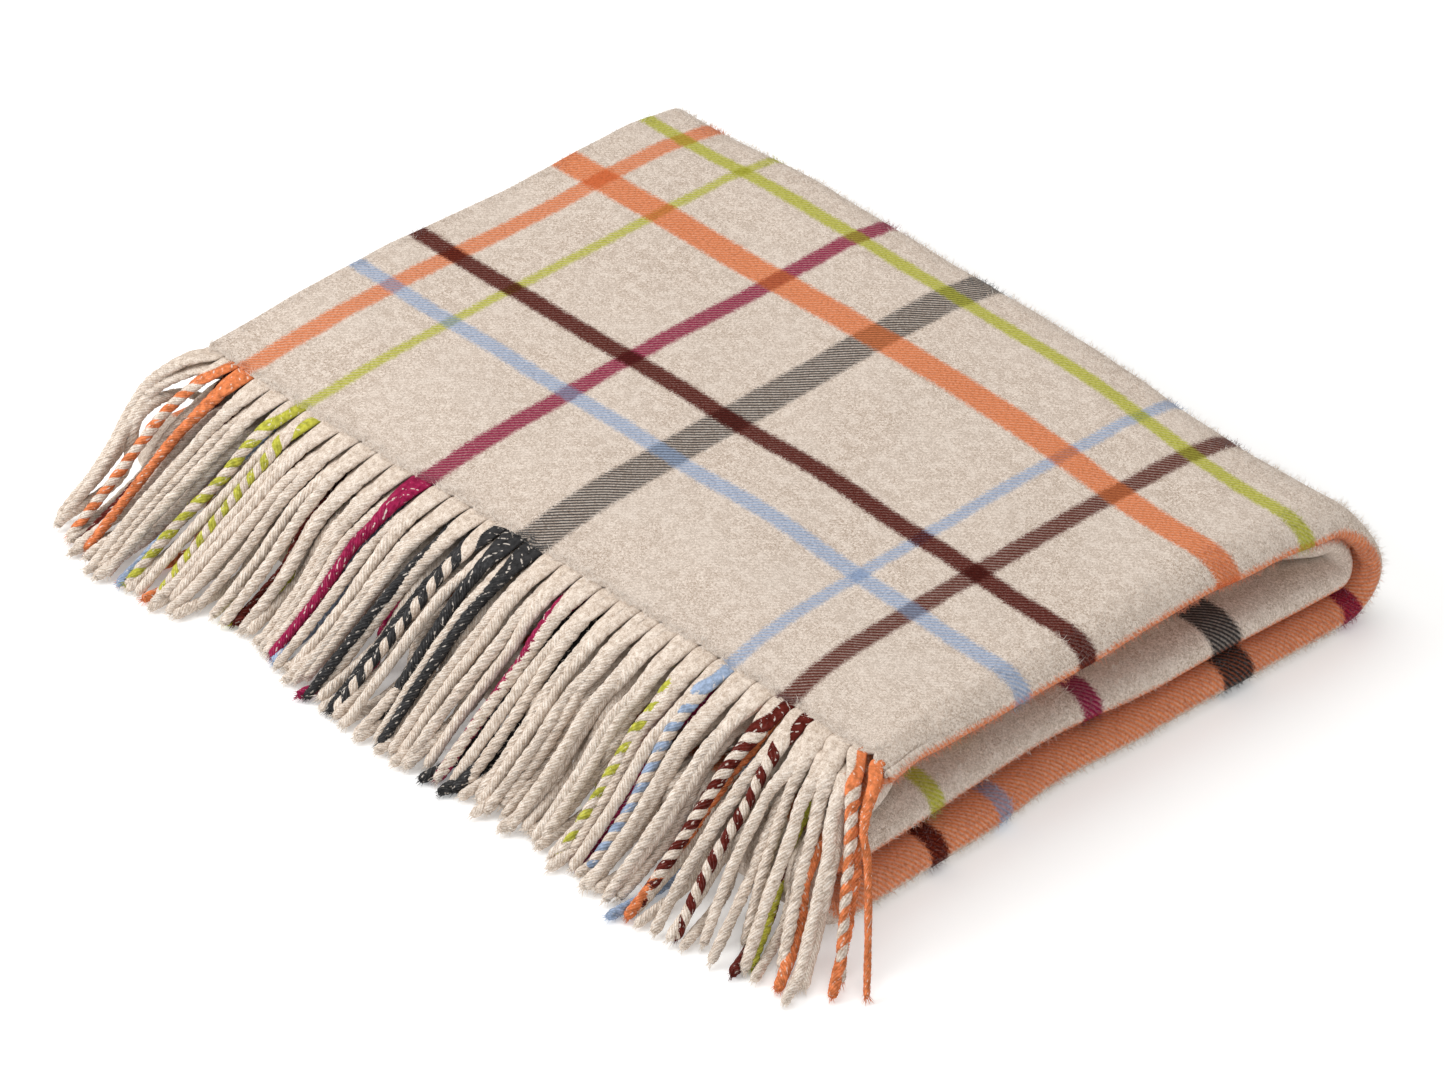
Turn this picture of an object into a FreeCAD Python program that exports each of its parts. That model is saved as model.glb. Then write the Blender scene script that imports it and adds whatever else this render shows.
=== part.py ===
"""Folded throw blanket: one woven cloth folded to eight plies, with a twisted fringe at both ends.

Lengths are in millimetres. +X runs along the fringe edge, towards the long fold; +Y runs from
the fringe to the back fold; +Z is up. The origin is under the middle of the whole object.

The cloth is first folded in half across its width, which leaves one long fold on the +X side
and both selvedges on the -X side. That doubled strip, here called a lap, is then folded in half
twice along its length. Four laps lie on each other, from the bottom: the outer bottom, the inner
bottom, the inner top and the outer top. Both fringed ends come out at the front.
"""
import FreeCAD, Part
import math
import os

import Sketcher
from FreeCAD import Placement, Rotation, Vector

DRIVING_DIMENSIONS = [
    ("throw_width", 1350.0, "woven width, selvedge to selvedge"),
    ("throw_length", 2000.0, "woven length between the two fringes"),
    ("cloth_thickness", 3.2, "one ply of brushed wool cloth"),
    ("lap_height", 23.0, "height of one lap over its rounded long fold"),
    ("lap_pitch", 25.5, "from one lap to the next one up"),
    ("turn_reach", 56.0, "how far the front turn stands out past the fringed edge"),
    ("tassel_pitch", 18.24, "along the fringed edge, tassel to tassel in one row"),
    ("tassel_diameter", 5.3, "one twisted tassel"),
    ("tassel_length", 170.0, "along the tassel, from the cloth to its tip"),
]

# Tassels of each row that take in coloured warp ends, numbered from the selvedge side.
# All the others are oatmeal.
ROWS = {
    "top": {
        "tassels": 37,
        "phase": 0.5,
        "fan": 1.0,
        "colours": {"orange": [1, 2, 35, 36], "lime": [5, 6], "magenta": [12],
                    "charcoal": [16, 17, 18], "blue": [28], "brown": [31, 32]},
        "drape": [(0.0, 0.0), (20.0, -1.0), (58.0, -27.0), (96.0, -61.0), (143.0, -84.4)],
    },
    "second": {
        "tassels": 36,
        "phase": 1.0,
        "fan": 1.0,
        "colours": {"brown": [1, 2], "blue": [4], "charcoal": [14, 15], "magenta": [20],
                    "lime": [26], "orange": [30, 35]},
        "drape": [(0.0, 0.0), (24.0, -0.4), (60.0, -16.0), (100.0, -48.0), (150.0, -66.6)],
    },
    "third": {
        "tassels": 37,
        "phase": 0.5,
        "fan": 0.15,
        "colours": {"brown": [9], "blue": [12], "charcoal": [21, 22], "magenta": [28],
                    "lime": [34], "orange": [36]},
        "drape": [(0.0, 0.0), (20.0, -0.8), (50.0, -17.4), (74.0, -48.4), (138.0, -66.2)],
    },
    "lowest": {
        "tassels": 36,
        "phase": 1.0,
        "fan": 0.15,
        "colours": {"orange": [4, 5], "lime": [8], "magenta": [14], "charcoal": [20, 21],
                    "blue": [30], "brown": [33]},
        "drape": [(0.0, 0.0), (30.0, 0.2), (62.0, -6.6), (78.0, -42.6), (146.0, -49.0)],
    },
}

# The tassels leave the edge almost square to it. Over the last few at the long fold, those of
# the first end fan out, and those of the second end, held under them, hardly do.
FAN_AT_SELVEDGE = -4.0
FAN_AT_FOLD = 48.0
FAN_DRIFT = 9.0
FAN_STARTS = 0.85

# Points of a sketched line or arc, as constraints number them, and the sketch's own origin.
START, END, CENTRE = 1, 2, 3
ORIGIN = (-1, 1)
VERTICAL_AXIS = -2

doc = FreeCAD.newDocument("folded_throw")


def make_sheet():
    sheet = doc.addObject("Spreadsheet::Sheet", "Dims")
    for row, (alias, value, meaning) in enumerate(DRIVING_DIMENSIONS, start=1):
        sheet.set(f"A{row}", meaning)
        sheet.set(f"B{row}", str(value))
        sheet.setAlias(f"B{row}", alias)
    doc.recompute()
    return sheet


def body_sketch(body, name, plane_role):
    """A sketch on one of the body's own origin planes."""
    plane = next(feature for feature in body.Origin.OriginFeatures if feature.Role == plane_role)
    sketch = body.newObject("Sketcher::SketchObject", name)
    sketch.AttachmentSupport = [(plane, "")]
    sketch.MapMode = "FlatFace"
    return sketch


def constrain(sketch, kind, places):
    for place in places:
        sketch.addConstraint(Sketcher.Constraint(kind, *place))


def bind(sketch, kind, geometry, name, expression):
    """Add a named size to a sketch and bind it to the sheet."""
    index = sketch.addConstraint(Sketcher.Constraint(kind, *geometry))
    sketch.renameConstraint(index, name)
    sketch.setExpression(f"Constraints.{name}", expression)


def line(start, end):
    return Part.LineSegment(Vector(*start, 0), Vector(*end, 0))


def arc(centre, radius, start_degrees, end_degrees):
    circle = Part.Circle(Vector(*centre, 0), Vector(0, 0, 1), radius)
    return Part.ArcOfCircle(circle, math.radians(start_degrees), math.radians(end_degrees))


def lap_section(body, dims):
    """Section of the top lap: two plies joined by the rounded long fold on the +X side."""
    half = dims.throw_width / 4
    outer = dims.lap_height / 2
    inner = outer - dims.cloth_thickness
    level = outer + 3 * dims.lap_pitch
    bend = half - outer
    sketch = body_sketch(body, "lap_section", "XZ_Plane")
    sketch.addGeometry([
        line((-half, level - outer), (bend, level - outer)),
        arc((bend, level), outer, -90, 90),
        line((bend, level + outer), (-half, level + outer)),
        line((-half, level + outer), (-half, level + inner)),
        line((-half, level + inner), (bend, level + inner)),
        arc((bend, level), inner, -90, 90),
        line((bend, level - inner), (-half, level - inner)),
        line((-half, level - inner), (-half, level - outer)),
    ], False)
    constrain(sketch, "Coincident", [
        (2, END, 3, START), (3, END, 4, START), (6, END, 7, START), (7, END, 0, START),
        (1, CENTRE, 5, CENTRE),
    ])
    constrain(sketch, "Tangent", [
        (0, END, 1, START), (1, END, 2, START), (4, END, 5, END), (5, START, 6, START),
    ])
    constrain(sketch, "Horizontal", [(0,)])
    constrain(sketch, "Vertical", [(3,), (7,)])
    bind(sketch, "Radius", (1, outer), "outer_radius", "Dims.lap_height / 2")
    bind(sketch, "Radius", (5, inner), "inner_radius", "Dims.lap_height / 2 - Dims.cloth_thickness")
    bind(sketch, "DistanceY", (*ORIGIN, 1, CENTRE, level), "top_level",
         "Dims.lap_height / 2 + 3 * Dims.lap_pitch")
    bind(sketch, "DistanceX", (*ORIGIN, 1, CENTRE, bend), "fold_centre",
         "Dims.throw_width / 4 - Dims.lap_height / 2")
    bind(sketch, "DistanceX", (0, START, *ORIGIN, half), "lower_selvedge", "Dims.throw_width / 4")
    bind(sketch, "DistanceX", (3, START, *ORIGIN, half), "upper_selvedge", "Dims.throw_width / 4")
    return sketch


def panel_length(dims):
    """Length of the flat part of the top lap, so that the folded length is the woven length."""
    turns = math.pi * 2.5 * dims.lap_pitch
    return (dims.throw_length - turns + 2 * front_turn(dims)) / 4


def front_turn(dims):
    """Where the centre of the front turn lies, behind the fringed edge; negative is in front."""
    return (dims.lap_pitch + dims.lap_height) / 2 - dims.turn_reach


def lap_path(body, dims):
    """Path of the laps: outer top, back, outer bottom, front turn, inner bottom, back, inner top."""
    flat = panel_length(dims)
    turn = front_turn(dims)
    outer_bottom, inner_bottom, inner_top, outer_top = [
        dims.lap_height / 2 + lap * dims.lap_pitch for lap in range(4)]
    middle = (outer_bottom + outer_top) / 2
    small = dims.lap_pitch / 2
    large = 3 * small
    sketch = body_sketch(body, "lap_path", "YZ_Plane")
    sketch.addGeometry([
        line((0, outer_top), (flat, outer_top)),
        arc((flat, middle), large, -90, 90),
        line((flat, outer_bottom), (turn, outer_bottom)),
        arc((turn, outer_bottom + small), small, 90, 270),
        line((turn, inner_bottom), (flat, inner_bottom)),
        arc((flat, middle), small, -90, 90),
        line((flat, inner_top), (0, inner_top)),
    ], False)
    constrain(sketch, "Tangent", [
        (0, END, 1, END), (1, START, 2, START), (2, END, 3, END),
        (3, START, 4, START), (4, END, 5, START), (5, END, 6, START),
    ])
    constrain(sketch, "Horizontal", [(0,), (2,), (4,), (6,)])
    constrain(sketch, "PointOnObject", [(0, START, VERTICAL_AXIS), (6, END, VERTICAL_AXIS)])
    flat_length = ("(Dims.throw_length - pi * 2.5 * Dims.lap_pitch"
                   " - 2 * Dims.turn_reach + Dims.lap_pitch + Dims.lap_height) / 4")
    bind(sketch, "DistanceY", (*ORIGIN, 0, START, outer_top), "top_level",
         "Dims.lap_height / 2 + 3 * Dims.lap_pitch")
    bind(sketch, "DistanceX", (0, START, 0, END, flat), "flat_length", flat_length)
    bind(sketch, "DistanceX", (*ORIGIN, 4, END, flat), "inner_length", flat_length)
    bind(sketch, "DistanceX", (2, END, *ORIGIN, -turn), "turn_in_front",
         "Dims.turn_reach - (Dims.lap_pitch + Dims.lap_height) / 2")
    bind(sketch, "Radius", (1, large), "outer_back_radius", "1.5 * Dims.lap_pitch")
    bind(sketch, "Radius", (3, small), "front_radius", "Dims.lap_pitch / 2")
    bind(sketch, "Radius", (5, small), "inner_back_radius", "Dims.lap_pitch / 2")
    return sketch


def make_cloth(dims):
    """The whole woven cloth, one lap section carried along the folded path."""
    body = doc.addObject("PartDesign::Body", "cloth")
    body.Label = "cloth"
    section = lap_section(body, dims)
    path = lap_path(body, dims)
    doc.recompute()
    pipe = body.newObject("PartDesign::AdditivePipe", "folded_cloth")
    pipe.Profile = section
    pipe.Spine = (path, [f"Edge{edge}" for edge in range(1, 8)])
    doc.recompute()
    section_area = 2 * dims.cloth_thickness * (dims.throw_width / 2 - dims.lap_height / 2)
    section_area += math.pi / 2 * ((dims.lap_height / 2) ** 2
                                   - (dims.lap_height / 2 - dims.cloth_thickness) ** 2)
    expected = section_area * dims.throw_length
    print(f"cloth volume {body.Shape.Volume / expected:.4f} of section times length")
    return body


def fan_angle(share, fan):
    """Heading of a tassel, in degrees from square to the edge; share is 0 to 1 along the edge."""
    spread = fan * max(0.0, (share - FAN_STARTS) / (1 - FAN_STARTS)) ** 1.5
    return FAN_AT_SELVEDGE + FAN_DRIFT * share + (FAN_AT_FOLD - FAN_DRIFT - FAN_AT_SELVEDGE) * spread


def tassel_points(root, heading, drape, length):
    """Route of one tassel: the row's drape turned to its heading, its last run cut to length."""
    sideways = math.sin(math.radians(heading))
    forwards = math.cos(math.radians(heading))
    square_run = drape[1][0]
    points = [root, root + Vector(0, -square_run, drape[1][1])]
    for reach, drop in drape[2:]:
        beyond = reach - square_run
        points.append(root + Vector(beyond * sideways, -square_run - beyond * forwards, drop))
    fixed = sum((b - a).Length for a, b in zip(points[:-2], points[1:-1]))
    last = points[-1] - points[-2]
    last.normalize()
    points[-1] = points[-2] + last * (length - fixed)
    return points


def tassel_wire(points):
    """Straight runs joined by tangent arcs, each arc as large as its two runs allow."""
    edges = []
    start = points[0]
    for before, corner, after in zip(points, points[1:], points[2:]):
        back = (before - corner).normalize()
        on = (after - corner).normalize()
        reach = 0.45 * min((before - corner).Length, (after - corner).Length)
        radius = reach / math.tan((math.pi - back.getAngle(on)) / 2)
        middle_direction = (back + on).normalize()
        half_angle = back.getAngle(on) / 2
        to_middle = radius / math.sin(half_angle) - radius
        first = corner + back * reach
        second = corner + on * reach
        edges.append(Part.LineSegment(start, first).toShape())
        edges.append(Part.Arc(first, corner + middle_direction * to_middle, second).toShape())
        start = second
    edges.append(Part.LineSegment(start, points[-1]).toShape())
    return Part.Wire(edges)


def make_tassel(points, diameter):
    wire = tassel_wire(points)
    first_run = (points[1] - points[0]).normalize()
    ring = Part.Wire(Part.Circle(points[0], first_run, diameter / 2).toShape())
    tube = wire.makePipeShell([ring], True, False)
    section = math.pi * (diameter / 2) ** 2
    if abs(tube.Volume / (section * wire.Length) - 1) > 0.01:
        raise ValueError("a tassel's volume is not its section times its length")
    return tube


def row_levels(dims):
    """Height of the ply that each row of tassels grows from."""
    ply = (dims.lap_height - dims.cloth_thickness) / 2
    outer_top = dims.lap_height / 2 + 3 * dims.lap_pitch
    inner_top = dims.lap_height / 2 + 2 * dims.lap_pitch
    return {"top": outer_top + ply, "second": outer_top - ply,
            "third": inner_top + ply, "lowest": inner_top - ply}


def make_row(name, row, level, dims):
    """One row of tassels, one sub-part for each colour of yarn."""
    colour_of = {index: colour for colour, indices in row["colours"].items() for index in indices}
    half = dims.throw_width / 4
    tubes = {}
    for index in range(row["tassels"]):
        along = (index + row["phase"]) * dims.tassel_pitch
        heading = fan_angle(along / (2 * half), row["fan"])
        root = Vector(along - half, 0, level)
        points = tassel_points(root, heading, row["drape"], dims.tassel_length)
        tubes.setdefault(colour_of.get(index, "oatmeal"), []).append(
            make_tassel(points, dims.tassel_diameter))
    features = []
    for colour, solids in tubes.items():
        label = f"fringe_{name}_{colour}"
        feature = doc.addObject("Part::Feature", label)
        feature.Label = label
        feature.Shape = Part.makeCompound(solids)
        features.append(feature)
    return features


def place_on_origin(features):
    """Move every sub-part so that the origin is under the middle of the whole object."""
    box = FreeCAD.BoundBox()
    for feature in features:
        box.add(feature.Shape.optimalBoundingBox(False))
    shift = Vector(-(box.XMin + box.XMax) / 2, -(box.YMin + box.YMax) / 2, -box.ZMin)
    for feature in features:
        feature.Placement = Placement(shift, Rotation())
    print(f"size {box.XLength:.1f} x {box.YLength:.1f} x {box.ZLength:.1f}, shift {shift}")


def check_and_write(features):
    doc.recompute()
    for thing in doc.Objects:
        if any(state in ("Invalid", "Error") for state in thing.State):
            raise ValueError(f"{thing.Label} is in state {thing.State}")
    os.makedirs("parts", exist_ok=True)
    for feature in features:
        shape = feature.Shape
        if shape.isNull() or not shape.isValid():
            raise ValueError(f"{feature.Label} has no valid shape")
        shape.exportStep(f"parts/{feature.Label}.step")
        print(f"{feature.Label}: {len(shape.Solids)} solids, {shape.Volume / 1000:.1f} cm3")


dims = make_sheet()
sub_parts = [make_cloth(dims)]
for row_name, level in row_levels(dims).items():
    sub_parts += make_row(row_name, ROWS[row_name], level, dims)
place_on_origin(sub_parts)
check_and_write(sub_parts)
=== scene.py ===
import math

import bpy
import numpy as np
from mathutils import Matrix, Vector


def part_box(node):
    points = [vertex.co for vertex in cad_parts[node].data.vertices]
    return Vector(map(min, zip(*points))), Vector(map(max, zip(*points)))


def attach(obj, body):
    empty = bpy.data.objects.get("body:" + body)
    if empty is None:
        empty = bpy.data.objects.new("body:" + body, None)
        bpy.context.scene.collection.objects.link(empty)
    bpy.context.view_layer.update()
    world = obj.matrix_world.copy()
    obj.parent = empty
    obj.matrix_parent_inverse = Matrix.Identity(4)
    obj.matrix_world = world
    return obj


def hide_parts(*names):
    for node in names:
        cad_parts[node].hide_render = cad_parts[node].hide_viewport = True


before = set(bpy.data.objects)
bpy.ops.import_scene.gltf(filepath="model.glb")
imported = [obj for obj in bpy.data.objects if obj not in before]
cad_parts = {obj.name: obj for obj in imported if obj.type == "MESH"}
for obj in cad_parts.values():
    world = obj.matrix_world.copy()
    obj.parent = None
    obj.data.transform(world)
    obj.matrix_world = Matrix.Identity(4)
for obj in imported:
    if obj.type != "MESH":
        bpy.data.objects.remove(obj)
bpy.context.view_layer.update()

# A fringed woollen throw, folded in half across its width and then into four laps along its length.
# Metres, in the part's own frame: the fringed end faces -Y, the long fold +X.
# A place in the cloth is (w, s): w is measured across it from its -X selvedge in the top lap, s along it
# from its top fringed edge.

CLOTH_LOW, CLOTH_HIGH = (np.array(corner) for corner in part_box("cloth"))
EDGE_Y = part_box("fringe_top_oatmeal")[1][1]     # where the tassels leave the cloth
SELVEDGE_X = CLOTH_LOW[0]
FOLD_X = CLOTH_HIGH[0]

# ---- sizes
THROW = (1.350, 2.000)          # the cloth opened flat
FOLD_W = THROW[0] / 2           # the long fold's place across the cloth
THICK = 0.0032                  # brushed cloth
RIM = THICK * 0.42              # how far the cloth's rounded rim stands out past its edge
PLY = 0.0099                    # from a lap's middle to the middle of each of its two plies
LAP_Z = (0.0115, 0.0370, 0.0625, 0.0880)
TOP_RUN = 0.4341                # from the fringed edge to the turns at the back
LOW_RUN = 0.4658                # from the turns at the back to the turn in front
BACK_Y = EDGE_Y + TOP_RUN
FRONT_Y = BACK_Y - LOW_RUN
OUTER_TURN = (LAP_Z[3] - LAP_Z[0]) / 2
INNER_TURN = (LAP_Z[2] - LAP_Z[1]) / 2
FRONT_TURN = (LAP_Z[1] - LAP_Z[0]) / 2
TASSEL_PITCH = 0.01824


def smooth(x):
    """0 to 1 with no corner at either end."""
    x = np.clip(x, 0.0, 1.0)
    return x * x * (3 - 2 * x)


def ease(x, keys):
    """The value at x between (place, value) keys, level at each key."""
    places = np.array([key[0] for key in keys])
    values = np.array([key[1] for key in keys])
    i = np.clip(np.searchsorted(places, x) - 1, 0, len(places) - 2)
    t = (x - places[i]) / (places[i + 1] - places[i])
    return values[i] + (values[i + 1] - values[i]) * smooth(t)


def ripple(u, v, seed, wave, terms=7):
    """Soft, seeded waves of about that length, between about -1 and 1."""
    r = np.random.default_rng(seed)
    total = 0.0
    for _ in range(terms):
        turn = r.uniform(0, 2 * math.pi)
        length = wave * r.uniform(0.7, 1.6)
        k = 2 * math.pi / length
        total = total + np.sin(k * (u * math.cos(turn) + v * math.sin(turn)) + r.uniform(0, 6.3))
    return total / math.sqrt(terms * 2.0)


def unit(vectors):
    """The same directions, each one metre long."""
    return vectors / np.linalg.norm(vectors, axis=-1, keepdims=True)


def lengths_along(points):
    """The length along a line of points, from 0 at the first."""
    return np.concatenate(([0.0], np.cumsum(np.linalg.norm(np.diff(points, axis=0), axis=1))))


# ---- the cloth's way
# a line: its length, start and direction; a turn: its radius, middle and way round
RUNS = (
    ("line", TOP_RUN, (EDGE_Y, LAP_Z[3]), (1, 0)),
    ("turn", OUTER_TURN, (BACK_Y, (LAP_Z[3] + LAP_Z[0]) / 2), -1),
    ("line", LOW_RUN, (BACK_Y, LAP_Z[0]), (-1, 0)),
    ("turn", FRONT_TURN, (FRONT_Y, (LAP_Z[0] + LAP_Z[1]) / 2), -1),
    ("line", LOW_RUN, (FRONT_Y, LAP_Z[1]), (1, 0)),
    ("turn", INNER_TURN, (BACK_Y, (LAP_Z[1] + LAP_Z[2]) / 2), 1),
    ("line", TOP_RUN, (BACK_Y, LAP_Z[2]), (-1, 0)),
)
RUN_LENGTHS = [run[1] if run[0] == "line" else math.pi * run[1] for run in RUNS]
MARKS = np.concatenate(([0.0], np.cumsum(RUN_LENGTHS)))    # path lengths where the runs meet
S_TOP, S_BACK, S_BOTTOM, S_FRONT, S_INNER, S_BACK_IN, S_SECOND, S_END = MARKS


def lap_path(s):
    """The middle of the lap at path length s: (y, z) and its direction."""
    y, z, ty, tz = (np.zeros_like(s) for _ in range(4))
    for run, start, stop in zip(RUNS, MARKS[:-1], MARKS[1:]):
        here = (s >= start) & (s <= stop + 1e-9)
        along = s[here] - start
        if run[0] == "line":
            y[here] = run[2][0] + along * run[3][0]
            z[here] = run[2][1]
            ty[here] = run[3][0]
            continue
        radius, (cy, cz), way = run[1:]
        # way -1 turns clockwise seen from +X, +1 the other way
        first = math.pi / 2 if cy > 0 and way == -1 else -math.pi / 2
        angle = first + way * along / radius
        y[here] = cy + radius * np.cos(angle)
        z[here] = cz + radius * np.sin(angle)
        ty[here] = -way * np.sin(angle)
        tz[here] = way * np.cos(angle)
    return y, z, ty, tz


# The long fold is a puffed lip, and each lap's lip stands out or back by its own amount.
LIP_SHIFT = (
    (S_TOP, 0.002), (0.045, -0.004), (0.19, -0.004), (0.30, -0.008), (0.38, -0.004), (S_BACK, 0.000),
    (0.50, 0.007), (S_BOTTOM, 0.006), (0.75, 0.003), (0.82, -0.001), (0.91, 0.007), (S_FRONT, 0.010),
    (S_INNER, -0.004), (1.26, -0.014), (1.36, -0.006), (S_BACK_IN, -0.002), (S_SECOND, -0.012),
    (1.62, -0.034), (1.93, -0.034), (S_END, -0.008),
)
LIP_UPPER = (    # how far the ply on the low side of w takes to roll over
    (S_TOP, 0.026), (S_BACK, 0.027), (0.50, 0.018), (S_BOTTOM, 0.012), (S_FRONT, 0.012),
    (S_INNER, 0.020), (S_BACK_IN, 0.020), (S_SECOND, 0.012), (S_END, 0.012),
)
LIP_LOWER = (    # and the other ply
    (S_TOP, 0.010), (S_BACK, 0.010), (S_BOTTOM, 0.016), (S_FRONT, 0.014),
    (S_INNER, 0.010), (S_BACK_IN, 0.010), (S_SECOND, 0.012), (S_END, 0.012),
)
LIP_CLOTH = (    # how far round the cloth the lip's tip is from the fold's own middle
    (S_TOP, 0.0060), (S_BACK, 0.0060), (S_BOTTOM, 0.0070), (S_FRONT, 0.0065),
    (S_INNER, 0.0035), (S_BACK_IN, 0.0030), (S_SECOND, 0.0000), (S_END, 0.0000),
)
LIP_LEVEL = (    # the tip's height off the lap's middle
    (S_TOP, -0.0030), (S_BACK, -0.0030), (S_BOTTOM, 0.0000), (S_FRONT, 0.0000),
    (S_INNER, -0.0025), (S_BACK_IN, -0.0020), (S_SECOND, 0.0000), (S_END, 0.0000),
)


def hairpin(w, s):
    """x and height off the lap's middle, for cloth places w in one row s of the folded cloth."""
    upper, lower, level = (float(ease(s, keys)) for keys in (LIP_UPPER, LIP_LOWER, LIP_LEVEL))
    tip = FOLD_X - THICK / 2 + float(ease(s, LIP_SHIFT))
    tip_w = FOLD_W + float(ease(s, LIP_CLOTH))
    end = SELVEDGE_X + THICK / 2
    phi = np.linspace(0, math.pi / 2, 40)
    roll_x = np.concatenate(([end], tip - upper + upper * np.sin(phi)))
    roll_n = np.concatenate(([PLY], level + (PLY - level) * np.cos(phi)))
    under_x = np.concatenate((tip - lower + lower * np.cos(phi), [end]))
    under_n = np.concatenate((level - (PLY + level) * np.sin(phi), [-PLY]))
    x, n = [], []
    for part_x, part_n, start, stop in ((roll_x, roll_n, 0.0, tip_w), (under_x, under_n, tip_w, THROW[0])):
        length = np.concatenate(([0.0], np.cumsum(np.hypot(np.diff(part_x), np.diff(part_n)))))
        place = start + length / length[-1] * (stop - start)
        here = (w >= start - 1e-9) & (w < stop) if stop < THROW[0] else (w >= start)
        x.append(np.interp(w[here], place, part_x))
        n.append(np.interp(w[here], place, part_n))
    return np.concatenate(x), np.concatenate(n)


# How far each ply drops towards the fringed edge: the plies of a lap close up there.
SINK = {"top": 0.0062, "second": -0.0092, "third": -0.0035, "lowest": -0.0010}
SINK_REACH = 0.100       # from the fringed edge to where a ply starts to drop
LEAN = 0.062             # how far askew the upper laps lie, as a slope
LEAN_PIVOT = 0.165       # and how far behind the fringed edge they are turned about
EDGE_BOW = 0.010         # how far the fringed edge bows back towards the fold
EDGE_LEFT = 0.004        # and stands forward at the selvedge
EDGE_REACH = 0.12        # how far behind the fringed edge that bow dies out
PRESS = 0.45             # the share of the back turns' depth that is pressed out of them
BACK_SLACK = 0.006       # how far the back stands out at the selvedge
BACK_TAUT = 0.006        # and is drawn in towards the fold
BACK_DROP = 0.004        # how far the upper back edge sags


def sunk(x, y, z, w, s):
    """Heights with soft waves in the upper laps, and the fringed end sunk over the lap in front of it."""
    near = smooth(1 - (y - EDGE_Y) / SINK_REACH) ** 1.2
    corner = smooth((x - (FOLD_X - 0.050)) / 0.050)    # the lip keeps its height at the corner
    low_ply = w > FOLD_W
    at_top = np.where(low_ply, SINK["second"], SINK["top"])
    at_end = np.where(low_ply, SINK["third"], SINK["lowest"])
    sink = np.where(s < 0.6, at_top, np.where(s > S_SECOND - 0.02, at_end, 0.0))
    z = z - sink * near * (1 - 0.70 * corner)
    high = smooth(z / 0.09)
    z = z + 0.0011 * high * ripple(x, y, 11, 0.16) * (1 - 0.6 * near)
    return z + 0.0004 * high * ripple(x, y, 12, 0.05)


def edge_bow(across, behind):
    """How far back the rows across a lap bow, at that share of the width and distance behind the edge."""
    near_edge = smooth(1 - behind / EDGE_REACH)
    bow = 0.012 * smooth((behind - 0.15) / 0.25) * (1 - smooth((across - 0.50) / 0.45))
    bow = bow - 0.007 * smooth((across - 0.65) / 0.25) * smooth(behind / 0.10)
    bow = bow - 0.008 * smooth((across - 0.70) / 0.25) * smooth((behind - 0.25) / 0.15)
    bow = bow + EDGE_BOW * smooth((across - 0.1) / 0.8) * near_edge
    return bow - EDGE_LEFT * near_edge * smooth((0.5 - across) / 0.5)


def settle(x, y, z, w, s):
    """The folded cloth as it lies: askew, bowed, with soft waves, and pressed short at the back."""
    behind = y - EDGE_Y                              # distance behind the fringed edge
    z = sunk(x, y, z, w, s)
    across = (x - SELVEDGE_X) / (FOLD_X - SELVEDGE_X)
    # the upper laps lie a few degrees askew of the lower ones
    upper = smooth((z - 0.020) / 0.060)
    lean = -LEAN * (behind - LEAN_PIVOT) * (1 - 0.55 * smooth((across - 0.55) / 0.40))
    lean = lean * (1 - smooth((across - 0.90) / 0.10))
    x = x + lean * upper
    # the turns at the back are pressed short, slacker towards the fold
    past = np.maximum(0.0, y - BACK_Y)
    y = y - PRESS * past * (1 - 0.65 * smooth((across - 0.72) / 0.25))
    top_ply = (s < 0.6) & (w < FOLD_W + 0.02)
    y = y + edge_bow(across, behind) * np.where(top_ply, 1.0, 0.35) * upper
    slack = BACK_SLACK * smooth((0.45 - across) / 0.25) - BACK_TAUT * smooth((across - 0.30) / 0.45)
    y = y + slack * smooth((behind - 0.30) / 0.15)
    z = z - BACK_DROP * smooth((behind - 0.385) / 0.06) * smooth((z - 0.03) / 0.06)
    x = x + 0.0010 * ripple(s, w * 0.2, 13, 0.21)
    y = y + 0.0008 * ripple(x, w * 0.3 + s, 14, 0.16)
    return x, y, z


# ---- the cloth
def spaced(marks, steps):
    """A grid through marks with about that step in each stretch between them."""
    out = [np.array([marks[0]])]
    for a, b, step in zip(marks[:-1], marks[1:], steps):
        count = max(1, int(round((b - a) / step)))
        out.append(np.linspace(a, b, count + 1)[1:])
    return np.concatenate(out)


QUARTER = TASSEL_PITCH / 4      # four cells to each tassel, so that the edge can dip between them
W_SIDE = np.arange(0, FOLD_W - 0.036, QUARTER)
W_GRID = np.concatenate((
    W_SIDE,
    spaced((W_SIDE[-1] + 0.004, FOLD_W - 0.022, FOLD_W + 0.022, FOLD_W + 0.034), (0.003, 0.002, 0.003)),
    (THROW[0] - W_SIDE)[::-1],
))
S_GRID = spaced(
    (0, 0.012, 0.03, 0.08, S_BACK - 0.02, S_BOTTOM + 0.02, S_FRONT - 0.01, S_INNER + 0.01,
     S_BACK_IN - 0.01, S_SECOND + 0.01, S_END - 0.06, S_END - 0.012, S_END),
    (0.0024, 0.0036, 0.005, 0.010, 0.0042, 0.0125, 0.0022, 0.0115, 0.0024, 0.014, 0.008, 0.003),
)
SLITS = np.random.default_rng(5).uniform(0.0032, 0.0085, 80)    # how deep the edge dips between tassels
SLIT_REACH = 0.014              # how far from the edge a dip starts


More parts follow.
